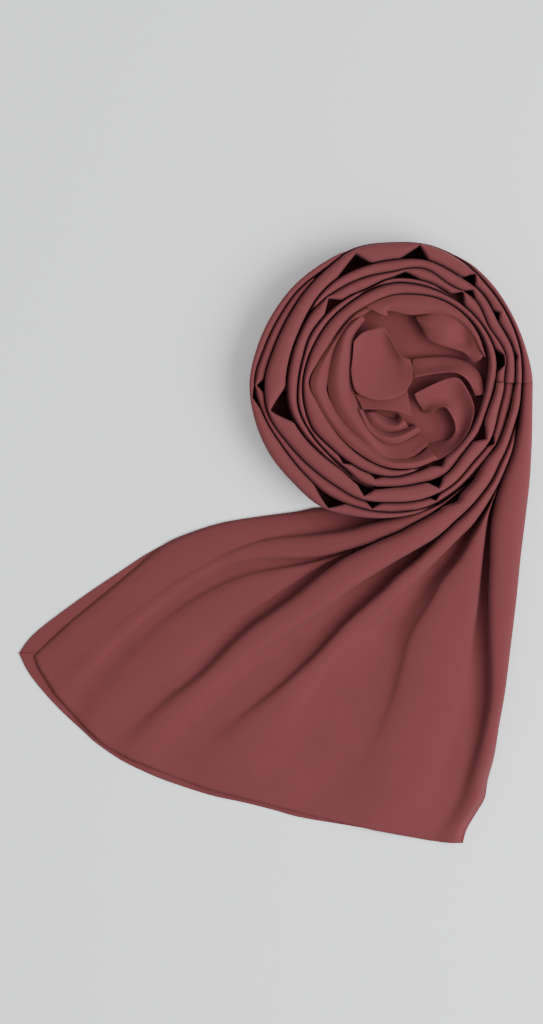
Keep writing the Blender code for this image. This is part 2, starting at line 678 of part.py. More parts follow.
pieces = [
    fan_under_layer(),
    fan_upper_layer(),
    wound_turn("outer_turn", OUTER_TURN[2:], TURN_COLUMNS[1:], OUTER_KINKS, OUTER_CRESTS, OUTER_TUCK),
    wound_turn("inner_turn", INNER_TURN, ("outer", "groove_2", "groove_3"), INNER_KINKS, INNER_CRESTS),
    wound_turn("last_turn", LAST_TURN, ("outer", "groove_3"), LAST_KINKS, LAST_CRESTS),
    core(),
]
stand_on_origin(pieces)
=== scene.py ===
import math

import bmesh
import bpy
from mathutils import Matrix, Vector


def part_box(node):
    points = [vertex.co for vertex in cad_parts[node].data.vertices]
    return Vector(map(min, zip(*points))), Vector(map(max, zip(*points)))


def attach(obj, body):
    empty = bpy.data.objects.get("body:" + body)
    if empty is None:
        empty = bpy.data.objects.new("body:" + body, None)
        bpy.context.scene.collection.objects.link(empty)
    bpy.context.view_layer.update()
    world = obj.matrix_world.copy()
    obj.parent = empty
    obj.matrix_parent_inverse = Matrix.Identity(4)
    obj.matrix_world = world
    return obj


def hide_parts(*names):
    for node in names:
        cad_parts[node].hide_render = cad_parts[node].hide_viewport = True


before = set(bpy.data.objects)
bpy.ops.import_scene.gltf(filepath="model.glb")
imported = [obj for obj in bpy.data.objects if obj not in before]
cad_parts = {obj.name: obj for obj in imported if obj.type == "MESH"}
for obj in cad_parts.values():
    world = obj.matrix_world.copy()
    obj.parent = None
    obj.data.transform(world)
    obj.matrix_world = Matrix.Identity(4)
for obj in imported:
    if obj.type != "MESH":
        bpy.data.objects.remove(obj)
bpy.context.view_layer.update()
print("frame loaded:", sorted(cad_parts))

mm = 0.001
unit = 0.75 / 2 / 507  # the folded hem is half of a 75 cm cloth, and 507 drawing units long
coilX, coilY = 391.0, 384.0  # middle of the coil in the drawing
leftCorner, hemCorner = 19.0, 843.0  # drawing places of the under layer's box
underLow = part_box("fan_under_layer")[0]
coilMiddle = Vector((underLow.x - (leftCorner - coilX) * unit, underLow.y - (coilY - hemCorner) * unit, 0))

cloth = {
    "shell": 0.55 * mm,
    "crevice": 0.22 * mm,
    "creviceShare": 0.2,
    "domePower": 2.4,
    "wallShare": 0.3,
    "stepsPerSide": 11,
    "valleyReach": 0.96,
    "shoulderLeast": 0.15,
    "narrowBend": 1.7,
    "bendLess": 0.5,
    "wideSlope": 20 * unit,
    "kinkBend": 1.15,
}


def drawn(x, y, height=0.0):
    return coilMiddle + Vector(((x - coilX) * unit, (coilY - y) * unit, height))


def polar(bearing, radius, height=0.0):
    angle = math.radians(bearing)
    return coilMiddle + Vector((radius * math.cos(angle), radius * math.sin(angle), height))


def smooth(rows, place):  # Catmull-Rom through rows of numbers, at a place counted in rows
    last = len(rows) - 1
    i = max(0, min(int(place), last - 1))
    t = place - i
    a, b, c, d = rows[max(i - 1, 0)], rows[i], rows[i + 1], rows[min(i + 2, last)]
    return tuple(
        0.5 * (2 * q + (r - p) * t + (2 * p - 5 * q + 4 * r - s) * t * t + (3 * q - p - 3 * r + s) * t ** 3)
        for p, q, r, s in zip(a, b, c, d)
    )


def atBearing(table, bearing):
    i = 0
    while i < len(table) - 2 and table[i + 1][0] <= bearing:
        i += 1
    return smooth(table, i + (bearing - table[i][0]) / (table[i + 1][0] - table[i][0]))


def kinkRise(kinks, groove, bearing):
    rise = 0.0
    for name, middle, height, before, after in kinks:
        away = abs(bearing - middle) / (before if bearing < middle else after)
        if name == groove and away < 1:
            rise = max(rise, height * (1 - away) ** cloth["kinkBend"])
    return rise * unit


def pleat(outValley, outEdge, inEdge, inValley, floors, crest, dome, slopes, opened):
    # points over one pleat, from its outer valley to its inner one; opened turns it into a soft wave
    points = []
    steps = cloth["stepsPerSide"]
    middle = (outEdge + inEdge) / 2
    for k in range(-steps, steps + 1):
        share = abs(k) / steps
        valley, edge, floor, slope = (
            (outValley, outEdge, floors[0], slopes[0]) if k < 0 else (inValley, inEdge, floors[1], slopes[1])
        )
        shoulder = max(crest - dome, floor + cloth["shoulderLeast"] * (crest - floor))
        wall = (share - 1 + cloth["wallShare"]) / cloth["wallShare"]
        if wall > 1e-6:
            room = (valley - edge).length
            reach = min(slope, cloth["valleyReach"] * room) * wall
            point = edge.lerp(valley, reach / room) if room > 1e-9 else edge.copy()
            bend = cloth["narrowBend"] - cloth["bendLess"] * min(1.0, max(0.0, slope) / cloth["wideSlope"])
            height = floor + (shoulder - floor) * (1 - wall) ** bend if wall < 1 else floor
        else:
            turn = share / (1 - cloth["wallShare"]) * math.pi / 2
            point = middle.lerp(edge, math.sin(turn) ** (2 / cloth["domePower"]))
            height = shoulder + (crest - shoulder) * math.cos(turn) ** (2 / cloth["domePower"])
        loose = middle.lerp(valley, share)
        looseHeight = floor + (crest - floor) * (0.5 + 0.5 * math.cos(math.pi * share))
        point = point.lerp(loose, opened)
        point.z = height + (looseHeight - height) * opened
        points.append(point)
    return points


def gridObject(name, rows, material):
    bm = bmesh.new()
    verts = [[bm.verts.new(p) for p in row] for row in rows]
    for a, b in zip(verts, verts[1:]):
        for i in range(len(a) - 1):
            bm.faces.new((a[i], b[i], b[i + 1], a[i + 1]))
    bmesh.ops.recalc_face_normals(bm, faces=bm.faces)
    lift = sum(f.normal.z * f.calc_area() for f in bm.faces)
    if lift < 0:
        bmesh.ops.reverse_faces(bm, faces=bm.faces)
    mesh = bpy.data.meshes.new(name)
    bm.to_mesh(mesh)
    bm.free()
    thing = bpy.data.objects.new(name, mesh)
    bpy.context.scene.collection.objects.link(thing)
    mesh.materials.append(material)
    mesh.shade_smooth()
    return thing


def flatSize(rows):  # measured on the form: its mean length along, and the width that gives its area
    along = sum((b - a).length for p, q in zip(rows, rows[1:]) for a, b in zip(p, q)) / len(rows[0])
    area = 0.0
    for p, q in zip(rows, rows[1:]):
        for a, b, c, d in zip(p, p[1:], q, q[1:]):
            area += ((d - a).cross(c - b)).length / 2
    return area / along, along


def useModifier(thing, kind, **values):
    modifier = thing.modifiers.new(kind, kind)
    for key, value in values.items():
        setattr(modifier, key, value)
    bpy.ops.object.select_all(action="DESELECT")
    bpy.context.view_layer.objects.active = thing
    thing.select_set(True)
    bpy.ops.object.modifier_apply(modifier=modifier.name)
    thing.select_set(False)


def shell(thing, thickness):
    useModifier(thing, "SOLIDIFY", thickness=thickness, offset=-1.0, use_even_offset=False)


# One dye in three tones: the fan's and the core's are a little darker than the coil's. This is painted shade
# that stands in for how the light falls on each part. The mottle is the cloth's own uneven tone.
crepe = {
    "fan": (0.133, 0.0308, 0.0340),
    "coil": (0.139, 0.0335, 0.0370),
    "core": (0.135, 0.0315, 0.0345),
    "roughness": 0.86,
    "specular": 0.2,
    "mottleScale": 42.0,
    "mottleSpread": 0.07,
    "grainScale": 1500.0,
    "grainBump": 0.10,
    "grainDepth": 0.4 * mm,
    "slubScale": 260.0,
    "sheen": 0.06,
    "sheenRoughness": 0.6,
    "sheenTint": (0.9, 0.62, 0.62),
}


def crepeMaterial(name, colour):
    material = bpy.data.materials.new(name)
    material.use_nodes = True
    nodes, links = material.node_tree.nodes, material.node_tree.links
    shader = nodes["Principled BSDF"]
    place = nodes.new("ShaderNodeTexCoord")
    mottle = nodes.new("ShaderNodeTexNoise")
    mottle.inputs["Scale"].default_value = crepe["mottleScale"]
    mottle.inputs["Detail"].default_value = 3.0
    tint = nodes.new("ShaderNodeMixRGB")
    tint.inputs["Color1"].default_value = (*[c * (1 - crepe["mottleSpread"]) for c in colour], 1)
    tint.inputs["Color2"].default_value = (*[c * (1 + crepe["mottleSpread"]) for c in colour], 1)
    grain = nodes.new("ShaderNodeTexNoise")
    grain.inputs["Scale"].default_value = crepe["grainScale"]
    grain.inputs["Detail"].default_value = 2.0
    slub = nodes.new("ShaderNodeTexNoise")
    slub.inputs["Scale"].default_value = crepe["slubScale"]
    both = nodes.new("ShaderNodeMath")
    both.operation = "ADD"
    bump = nodes.new("ShaderNodeBump")
    bump.inputs["Strength"].default_value = crepe["grainBump"]
    bump.inputs["Distance"].default_value = crepe["grainDepth"]
    for texture in (mottle, grain, slub):
        links.new(place.outputs["Object"], texture.inputs["Vector"])
    links.new(mottle.outputs["Fac"], tint.inputs["Fac"])
    links.new(tint.outputs["Color"], shader.inputs["Base Color"])
    links.new(grain.outputs["Fac"], both.inputs[0])
    links.new(slub.outputs["Fac"], both.inputs[1])
    links.new(both.outputs["Value"], bump.inputs["Height"])
    links.new(bump.outputs["Normal"], shader.inputs["Normal"])
    shader.inputs["Roughness"].default_value = crepe["roughness"]
    shader.inputs["Specular IOR Level"].default_value = crepe["specular"]
    shader.inputs["Sheen Weight"].default_value = crepe["sheen"]
    shader.inputs["Sheen Roughness"].default_value = crepe["sheenRoughness"]
    shader.inputs["Sheen Tint"].default_value = (*crepe["sheenTint"], 1)
    return material


# The fan, with its under layer, and the core take the darker tones, which are painted shade.
fanShadedCrepe = crepeMaterial("crepeFanShaded", crepe["fan"])
coilCrepe = crepeMaterial("crepeCoil", crepe["coil"])
coreShadedCrepe = crepeMaterial("crepeCoreShaded", crepe["core"])


# Folds of the fan, each from the coil's right side down to the hem, in drawing units.
fanFolds = {
    "eOuter": (
        (530.5, 384), (530.3, 408.6), (530, 440), (529.3, 457), (528, 482), (524.5, 515),
        (519.5, 558), (515.8, 597), (511.5, 635), (505, 690), (499.5, 724), (494.5, 756),
        (488, 780), (485, 798), (477, 812), (467, 829), (463, 843),
    ),
    "eInner": (
        (520.34, 384), (518.7, 406.5), (516, 429.4), (510.5, 453), (501.4, 476.5), (497, 490),
        (494.5, 500), (491, 517), (489.5, 532), (489, 560), (488, 600), (488.5, 640), (489.5, 670),
        (488.5, 700), (483, 730), (474, 765), (462, 803), (448, 830), (443, 842.6),
    ),
    "dOuter": (
        (519.7, 384), (518.2, 406.5), (515.5, 429.2), (510, 452.8), (500.9, 476.2), (495.6, 490),
        (491.8, 500), (487.4, 515), (485.2, 530), (483.4, 545), (481.6, 560), (479.5, 580),
        (477.4, 600), (472, 640), (466, 680), (460, 705), (450, 735), (437, 768), (421, 803),
        (407, 830), (401, 836),
    ),
    "dInner": (
        (519.5, 384), (518, 406.4), (515.3, 429.1), (509.8, 452.7), (500.7, 476.1), (491.4, 498),
        (482.6, 515), (476, 527), (469.5, 538), (464, 549), (457, 560), (448, 571), (440, 582),
        (432, 597), (423, 612), (414, 626), (407, 642), (400, 668), (392, 697), (381, 728),
        (368, 763), (357, 798), (350, 825),
    ),
    "cOuter": (
        (519.35, 384), (517.8, 406.4), (515.1, 429), (509.6, 452.6), (499.5, 478), (489.7, 497),
        (479, 514), (470, 526), (460, 536), (450, 546), (440, 556), (430, 566), (420, 576),
        (400, 596), (380, 616), (360, 633), (341, 650.5), (321, 670), (304.6, 687), (288, 706),
        (268, 730), (244, 765), (226, 794),
    ),
    "cInner": (
        (519.2, 384), (517.4, 406.3), (511.6, 428), (505.2, 448.2), (498.2, 463.2), (490.2, 480.3),
        (479.3, 495.3), (469.4, 507), (460.8, 515.6), (453.2, 522.4), (445.9, 529.6),
        (438.6, 536.8), (430.6, 545), (420.4, 555), (411, 563.5), (400, 572), (390, 582),
        (380, 592), (360, 609.6), (341, 627), (318, 652), (298, 671), (278, 689), (254.5, 708),
        (232, 728), (206, 756), (190, 783),
    ),
    "bOuter": (
        (518.86, 384), (517.1, 406.2), (511.1, 427.8), (504.7, 448), (497.7, 463), (489.7, 480),
        (478.8, 495), (468.9, 506.4), (460.2, 514.9), (452.6, 521.6), (445.2, 528.8),
        (438.2, 534.8), (431, 540), (423.4, 544.6), (411.8, 551.4), (397, 559.8), (384, 567.6),
        (357, 584.5), (330, 604), (301, 623), (281, 634.5), (254, 652), (234, 668), (207.6, 691),
        (187.5, 709), (168, 729), (152, 768),
    ),
    "bInner": (
        (513.34, 384), (510.8, 394.5), (507.2, 413), (495.8, 444.5), (482.7, 460.9),
        (471.7, 480.1), (459.5, 493.5), (455, 501.5), (441.7, 506), (437.7, 510), (429.6, 514.7),
        (424, 518), (409.4, 526), (400, 531.5), (380, 540), (360, 549.7), (341, 560), (318, 577),
        (298, 593.5), (271, 613), (251, 627), (228, 647), (208, 667), (187.5, 684), (167, 699),
        (147, 718), (126, 738), (110, 749.5),
    ),
    "gOuter": (
        (513.2, 384), (510.7, 394.5), (507.1, 413), (495.7, 444.45), (482.6, 460.8), (471.6, 480),
        (459, 493), (454.6, 501), (441.6, 505.8), (437.6, 509.7), (429.4, 514.4), (423.8, 517.7),
        (409.3, 525.7), (399.8, 531.1), (379.5, 539.6), (359, 548.8), (338, 558), (313, 571.5),
        (291, 586), (263, 604), (242, 617), (218, 636), (197, 655), (176, 672), (155, 686),
        (134, 705), (114, 726), (99, 741),
    ),
    "gInner": (
        (513.1, 384), (510.6, 394.5), (507, 413), (495.6, 444.42), (482.5, 460.75), (471.4, 479.9),
        (458, 493), (453, 500), (441.4, 505.5), (429.2, 514.1), (423.6, 517.4), (409.1, 525.3),
        (399.6, 530.7), (379.5, 539), (370, 543.5), (350, 550.5), (330, 557), (306, 563),
        (279, 568), (252, 573), (224, 583), (190, 601), (150, 630), (118, 660), (93, 690),
        (78, 719),
    ),
    "aOuter": (
        (512.95, 384), (510.5, 394.5), (506.9, 413), (495.5, 444.4), (482.4, 460.7),
        (471.3, 479.8), (456, 493.5), (441.2, 505.2), (429, 513.8), (423.5, 517), (409, 525),
        (399.5, 530.4), (379.5, 538.6), (370, 543.2), (350, 549), (330, 554.2), (308, 557.6),
        (281.5, 558.6), (255, 559.5), (225, 567), (190, 585), (150, 614), (115, 645), (88, 677),
        (66, 707),
    ),
    "aInner": (
        (512.6, 384), (510.2, 394.5), (506.6, 413), (495.2, 444.3), (482.1, 460.5), (471, 479.5),
        (454.5, 492.5), (441, 502.5), (429.6, 507.4), (411, 513.6), (400, 516.2), (390, 518.5),
        (370, 523.4), (350, 529.5), (330, 533), (310, 535.5), (285, 537), (258, 541), (228, 551),
        (192, 570), (150, 598), (110, 628), (78, 653), (45, 681),
    ),
    "left": (
        (512.3, 384), (509.9, 394.5), (506.3, 413), (494.9, 444.2), (481.8, 460.3), (470.6, 479.2),
        (452.5, 490), (424.3, 508), (391, 515.6), (355.5, 514.3), (322, 507.5), (296, 511.5),
        (260, 516.2), (222, 522.5), (190, 532.5), (166, 543), (148, 557), (132, 571), (97, 600),
        (68, 624), (34, 656),
    ),
}

# Crest heights in millimetres from the coil, 0, to the hem, 1, and how far the pleats are opened out there.
fanRise = (
    # place, e, d, c, b, g, a, opened
    (0.00, 33.5, 3.2, 6.0, 35.5, 3.2, 3.2, 0.0),
    (0.06, 33.5, 3.2, 16.0, 35.5, 3.2, 3.2, 0.0),
    (0.12, 33.0, 3.4, 31.0, 35.0, 3.2, 3.2, 0.0),
    (0.17, 32.0, 3.6, 32.0, 34.5, 3.2, 4.0, 0.0),
    (0.20, 31.0, 8.0, 31.5, 34.0, 3.2, 22.0, 0.0),
    (0.24, 29.0, 22.0, 30.0, 33.0, 3.2, 28.0, 0.0),
    (0.32, 25.0, 20.5, 26.0, 29.5, 3.4, 24.0, 0.0),
    (0.42, 21.0, 16.0, 21.0, 25.0, 6.0, 17.0, 0.0),
    (0.50, 18.5, 13.0, 16.5, 21.0, 8.0, 11.5, 0.02),
    (0.58, 16.5, 10.8, 12.5, 17.0, 8.2, 8.0, 0.05),
    (0.66, 14.5, 9.2, 9.8, 13.5, 7.2, 6.2, 0.1),
    (0.74, 12.0, 7.8, 8.0, 10.5, 6.2, 5.2, 0.22),
    (0.82, 10.0, 6.6, 6.4, 8.0, 5.4, 4.6, 0.45),
    (0.92, 7.0, 5.2, 5.0, 5.6, 4.6, 4.0, 0.85),
    (1.00, 4.6, 4.0, 3.8, 4.0, 3.6, 3.0, 1.0),
)

# How far each side of a ribbon slopes out into its valley, in drawing units; below nought it hangs over.
fanSlopes = (
    # place, eInner, dOuter, dInner, cOuter, cInner, bOuter, bInner, gOuter, gInner, aOuter, aInner
    (0.0, 0.1, 0.1, 0.1, 0.1, 0.1, 0.1, 0.1, 0.1, 0.1, 0.1, 0.1),
    (0.2, 0.2, 0.3, 0.3, 0.2, 0.2, 0.2, 0.3, 0.1, 0.1, 0.3, 0.4),
    (0.3, 0.3, 1.2, 5.0, -0.6, 0.5, -0.6, 0.5, 0.2, 0.2, -0.4, 1.0),
    (0.4, 0.3, 2.0, 9.0, -1.2, 0.7, -1.2, 0.8, 2.0, 2.0, -1.0, 2.0),
    (0.48, 0.4, 3.0, 14.0, -1.2, 0.9, -1.2, 1.0, 6.0, 6.0, -1.0, 4.0),
    (0.55, 0.6, 5.0, 15.0, 8.0, 1.2, 1.0, 1.2, 9.0, 10.0, -0.5, 7.0),
    (0.62, 1.0, 8.0, 12.0, 28.0, 1.5, 5.0, 1.5, 12.0, 13.0, 1.0, 10.0),
    (0.75, 3.0, 16.0, 13.0, 36.0, 3.0, 9.0, 2.5, 14.0, 16.0, 5.0, 12.0),
    (0.87, 7.0, 22.0, 16.0, 40.0, 8.0, 14.0, 6.0, 15.0, 18.0, 9.0, 14.0),
    (1.0, 12.0, 28.0, 20.0, 44.0, 16.0, 18.0, 12.0, 16.0, 20.0, 12.0, 16.0),
)

fanCloth = {
    "stations": 150,
    "stepsPerPoint": 6,
    "floor": 2.6 * mm,
    "hemFloor": 2.0 * mm,
    "rightFoot": 0.6 * mm,
    "leftFoot": 1.8 * mm,
    "dome": 4.0 * mm,
    "domeShare": 0.34,
    "crestLeast": 0.4 * mm,
    "slopeLeast": 0.05,
    "blendEnd": 0.2,
    "edgeLiftFrom": 0.4,
    "edgeLiftOver": 0.25,
    "edgeLift": 0.8,
    "edgeSteps": (0.25, 0.5, 0.75, 1.0),
}
fanPleats = ("e", "d", "c", "b", "g", "a")


def alongFold(points, places):  # the fold's smooth line, at places from 0 to 1 of its length
    steps = fanCloth["stepsPerPoint"]
    fine = [Vector(smooth(points, k / steps)) for k in range(steps * (len(points) - 1) + 1)]
    reach = [0.0]
    for a, b in zip(fine, fine[1:]):
        reach.append(reach[-1] + (b - a).length)
    found = []
    i = 0
    for place in places:
        want = place * reach[-1]
        while i < len(fine) - 2 and reach[i + 1] < want:
            i += 1
        share = (want - reach[i]) / max(reach[i + 1] - reach[i], 1e-9)
        found.append(fine[i].lerp(fine[i + 1], share))
    return found


def tableAt(table, place):
    i = 0
    while i < len(table) - 2 and table[i + 1][0] <= place:
        i += 1
    return smooth(table, i + (place - table[i][0]) / (table[i + 1][0] - table[i][0]))[1:]


def fanRows():
    places = [k / fanCloth["stations"] for k in range(fanCloth["stations"] + 1)]
    lines = {name: alongFold(points, places) for name, points in fanFolds.items()}
    rows = []
    for k, place in enumerate(places):
        at = {name: drawn(*line[k]) for name, line in lines.items()}
        *crests, opened = tableAt(fanRise, place)
        slopes = tableAt(fanSlopes, place)
        opened = min(1.0, max(0.0, opened))
        floor = fanCloth["floor"] + (fanCloth["hemFloor"] - fanCloth["floor"]) * place
        edges = [(name + "Outer", name + "Inner") for name in fanPleats]
        valleys = [at["eOuter"]]
        for n, (a, b) in enumerate(zip(edges, edges[1:])):
            share = slopes[2 * n] / (slopes[2 * n] + max(slopes[2 * n + 1], fanCloth["slopeLeast"]))
            valleys.append(at[a[1]].lerp(at[b[0]], share))
        valleys.append((at["aInner"] + at["left"]) / 2)
        points = []
        for n, (outer, inner) in enumerate(edges):
            before = slopes[2 * n - 1] if n else 0.0
            crest = max(crests[n] * mm, floor + fanCloth["crestLeast"])
            floors = (fanCloth["rightFoot"] if n == 0 else floor, floor)
            broad = min(1.0, place / fanCloth["blendEnd"])
            fanDome = max(fanCloth["dome"], fanCloth["domeShare"] * (crest - floor))
            dome = turnCloth["dome"] + broad * (fanDome - turnCloth["dome"])
            points += pleat(valleys[n], at[outer], at[inner], valleys[n + 1], floors, crest, dome,
                            (before * unit, slopes[2 * n] * unit), opened)
        lifted = min(1.0, max(0.0, (place - fanCloth["edgeLiftFrom"]) / fanCloth["edgeLiftOver"]))
        for point in points[-cloth["stepsPerSide"]:]:
            point.z = max(point.z, floor + (crest - floor) * fanCloth["edgeLift"] * lifted)
        margin = points[-1].copy()
        for share in fanCloth["edgeSteps"]:
            point = margin.lerp(at["left"], share)
            point.z = margin.z + (fanCloth["leftFoot"] - margin.z) * share ** 2
            points.append(point)
        rows.append(points)
    return rows


# Grooves between the wound pleats: bearing, then radii in drawing units from the outside in. The coil winds
# inwards, so a bearing past 360 is on its second time round.
outerTurn = (
    (0, 139.5, 128.8, 128.4, 121.8),
    (15, 137.0, 131.0, 130.6, 124.6),
    (30, 137.0, 132.4, 132.0, 121.8),
    (45, 139.5, 134.5, 134.1, 126.0),
    (60, 141.8, 139.0, 138.6, 125.2),
    (75, 142.2, 141.4, 141.0, 126.6),
    (90, 139.8, 139.0, 138.6, 122.2),
    (105, 139.3, 138.5, 137.8, 119.0),
    (120, 137.3, 131.2, 130.3, 116.4),
    (135, 137.0, 131.0, 124.6, 110.8),
    (150, 137.0, 130.0, 121.4, 105.8),
    (165, 138.5, 131.8, 122.2, 104.6),
    (180, 141.4, 136.6, 126.6, 105.4),
    (195, 141.1, 131.2, 126.0, 105.8),
    (210, 140.6, 125.9, 119.3, 102.8),
    (225, 139.6, 125.5, 116.0, 100.0),
    (240, 141.6, 128.0, 116.0, 100.4),
    (255, 137.0, 128.3, 119.5, 107.4),
    (270, 133.6, 128.4, 118.5, 103.8),
    (285, 130.2, 127.7, 119.1, 103.6),
    (300, 124.0, 123.4, 117.3, 105.2),
    (315, 119.9, 119.5, 112.0, 99.5),
    (330, 120.2, 119.8, 112.4, 98.8),
    (345, 118.8, 118.4, 109.0, 98.6),
    (360, 121.2, 120.8, 111.1, 102.5),
)
innerTurn = (
    (360, 121.0, 111.1, 102.5),
    (375, 123.8, 115.5, 106.8),
    (390, 121.0, 110.7, 106.5),
    (405, 125.2, 116.5, 104.8),
    (420, 124.4, 112.8, 105.8),
    (435, 125.8, 117.6, 106.0),
    (450, 121.4, 110.3, 104.0),
    (465, 118.2, 108.3, 97.4),
    (480, 115.6, 107.0, 95.6),
    (495, 110.0, 106.8, 94.5),
    (510, 105.0, 104.4, 94.2),
    (525, 103.8, 103.2, 92.0),
    (540, 104.6, 104.0, 93.3),
    (555, 105.0, 104.4, 96.3),
    (570, 102.0, 101.4, 95.4),
    (585, 99.2, 98.8, 95.0),
    (600, 99.9, 99.5, 97.0),
    (610, 103.6, 103.2, 100.6),
    (620, 105.8, 105.5, 104.6),
)
lastTurn = (
    (50, 104.6, 103.9),
    (60, 105.0, 102.5),
    (75, 105.2, 101.1),
    (90, 103.2, 99.3),
    (105, 96.6, 94.0),
    (120, 94.8, 89.9),
    (135, 93.7, 87.9),
    (150, 93.4, 86.6),
    (165, 91.2, 87.2),
    (180, 92.5, 88.8),
    (195, 95.5, 90.4),
    (210, 94.6, 91.4),
    (225, 94.2, 89.0),
    (240, 96.0, 89.8),
    (255, 103.6, 92.3),
    (270, 103.0, 93.4),
    (285, 102.8, 91.2),
    (300, 104.4, 90.6),
    (315, 98.7, 90.5),
    (330, 98.0, 90.7),
    (345, 97.8, 90.8),
    (360, 101.7, 93.5),
    (375, 106.0, 98.6),
    (390, 105.7, 100.2),
    (405, 104.0, 98.7),
    (420, 101.7, 96.0),
    (435, 100.3, 91.0),
    (450, 98.5, 86.6),
    (465, 93.2, 80.4),
    (480, 89.1, 77.2),
    (495, 87.1, 73.5),
    (510, 85.8, 71.4),
    (525, 86.4, 75.5),
    (540, 88.0, 82.0),
    (555, 89.6, 75.5),
    (570, 90.6, 72.7),
    (585, 88.2, 74.0),
    (600, 89.0, 77.0),
    (615, 91.5, 81.2),
    (630, 92.6, 85.7),
    (645, 90.4, 87.4),
    (655, 89.8, 88.6),
)
# Kinks, where a roll's inner edge is pushed open: groove, bearing, rise in drawing units, and the degrees
# that it takes before and after.
outerKinks = (
    ("groove3", -14, 3.8, 4, 4),
    ("groove3", 12, 2.0, 3, 3),
    ("groove3", 33, 4.2, 3, 3),
    ("groove3", 52.5, 11.0, 3, 4),
    ("groove3", 78.5, 12.5, 5, 8),
    ("groove3", 105.8, 13.6, 6, 12),
    ("groove3", 193, 18.0, 11, 9),
    ("groove3", 256, 7.6, 5, 5),
    ("groove3", 294, 8.6, 5, 5),
    ("groove3", 329, 9.0, 5, 9),
    ("groove2", 181, 7.2, 3, 3.5),
    ("groove2", 261, 6.2, 4, 4),
    ("groove2", 290.5, 5.2, 3, 3),
    ("groove2", 329, 4.6, 3, 4),
    ("groove1", 186, 3.6, 5, 5),
    ("groove1", 243, 10.8, 11, 6),
)
innerKinks = (
    ("groove3", 370.8, 13.0, 5, 8),
    ("groove3", 412, 9.0, 5, 5),
    ("groove3", 443, 5.5, 8, 8),
    ("groove3", 487, 9.4, 6, 8),
    ("groove2", 409, 5.0, 4, 4),
)
lastKinks = (
    ("groove3", 238.5, 3.6, 5, 5),
    ("groove3", 260, 3.4, 4, 4),
    ("groove3", 301, 5.2, 6, 5),
)

turnCloth = {
    "step": 1.5,
    "floor": 3.0 * mm,
    "foot": 0.6 * mm,
    "tuck": 3.5 * mm,
    "tuckShare": 0.6,
    "fullWidth": 3.5 * unit,
    "outsideLeast": 0.6,
    "pressedLeast": 0.04,
    "kinkMost": 0.85,
    "ledge": 1.5 * mm,
    "tuckBend": 1.3,
    "kinkApart": 0.6,
    "dome": 5.6 * mm,
    "outerCrests": (33.5, 31.5, 35.5),
    "innerCrests": (34.5, 33.0),
    "lastCrests": (32.5,),
}


def packedProfile(grooves, heights):
    crests, floors, hidden = [], [turnCloth["foot"]], 1.0
    for n, height in enumerate(heights):
        share = min(1.0, (grooves[n] - grooves[n + 1]) / turnCloth["fullWidth"])
        least = turnCloth["outsideLeast"] if n == 0 else turnCloth["pressedLeast"]
        crest = turnCloth["floor"] + (height * mm - turnCloth["floor"]) * max(least, share)
        hidden = min(hidden, 1 - share)
        step = crests[0] if crests else crest
        floors.append(turnCloth["floor"] + (step - turnCloth["floor"]) * hidden)
        crests.append(max(crest, floors[n], floors[n + 1]))
    floors[-1] = turnCloth["floor"]
    return crests, floors


def turnRow(table, names, kinks, heights, bearing, tuck):
    grooves = [r * unit for r in atBearing(table, bearing)[1:]]
    crests, floors = packedProfile(grooves, heights)
    points = []
    for n, (outer, inner) in enumerate(zip(grooves, grooves[1:])):
        width = outer - inner
        lift = min(kinkRise(kinks, names[n + 1], bearing), turnCloth["kinkMost"] * width)
        side = min(cloth["crevice"], cloth["creviceShare"] * width)
        outEdge = polar(bearing, outer - (0 if n == 0 else side))
        inEdge = polar(bearing, inner + side + lift)
        points += pleat(polar(bearing, outer), outEdge, inEdge, polar(bearing, inner), floors[n: n + 2],
                        crests[n], turnCloth["dome"], (0.0, 0.0), 0.0)
    wallSteps = int(cloth["stepsPerSide"] * cloth["wallShare"])
    shoulder = points[wallSteps].z
    behind = 1 - floors[1] / shoulder
    if behind > 0:
        tuck = min(tuck, turnCloth["tuckShare"] * (grooves[0] - grooves[1]) / behind)
    inward = polar(bearing, 1.0) - coilMiddle
    for point in points[:wallSteps]:
        point -= inward * tuck * max(0.0, 1 - point.z / shoulder) ** turnCloth["tuckBend"]
    ledge = polar(bearing, grooves[-1], turnCloth["foot"] + turnCloth["ledge"])
    return points + [ledge]


def bearingsOf(table, kinks, step):
    first, last = table[0][0], table[-1][0]
    count = round((last - first) / step)
    apart = turnCloth["kinkApart"]
    found = {first + (last - first) * k / count for k in range(count + 1)}
    for _, middle, _, _, _ in kinks:
        if first < middle < last:
            found = {b for b in found if abs(b - middle) > apart or b in (first, last)} | {middle}
    return sorted(found)


def turnRows(table, names, kinks, heights, tuck):
    bearings = bearingsOf(table, kinks, turnCloth["step"])
    return [turnRow(table, names, kinks, heights, b, tuck) for b in bearings]


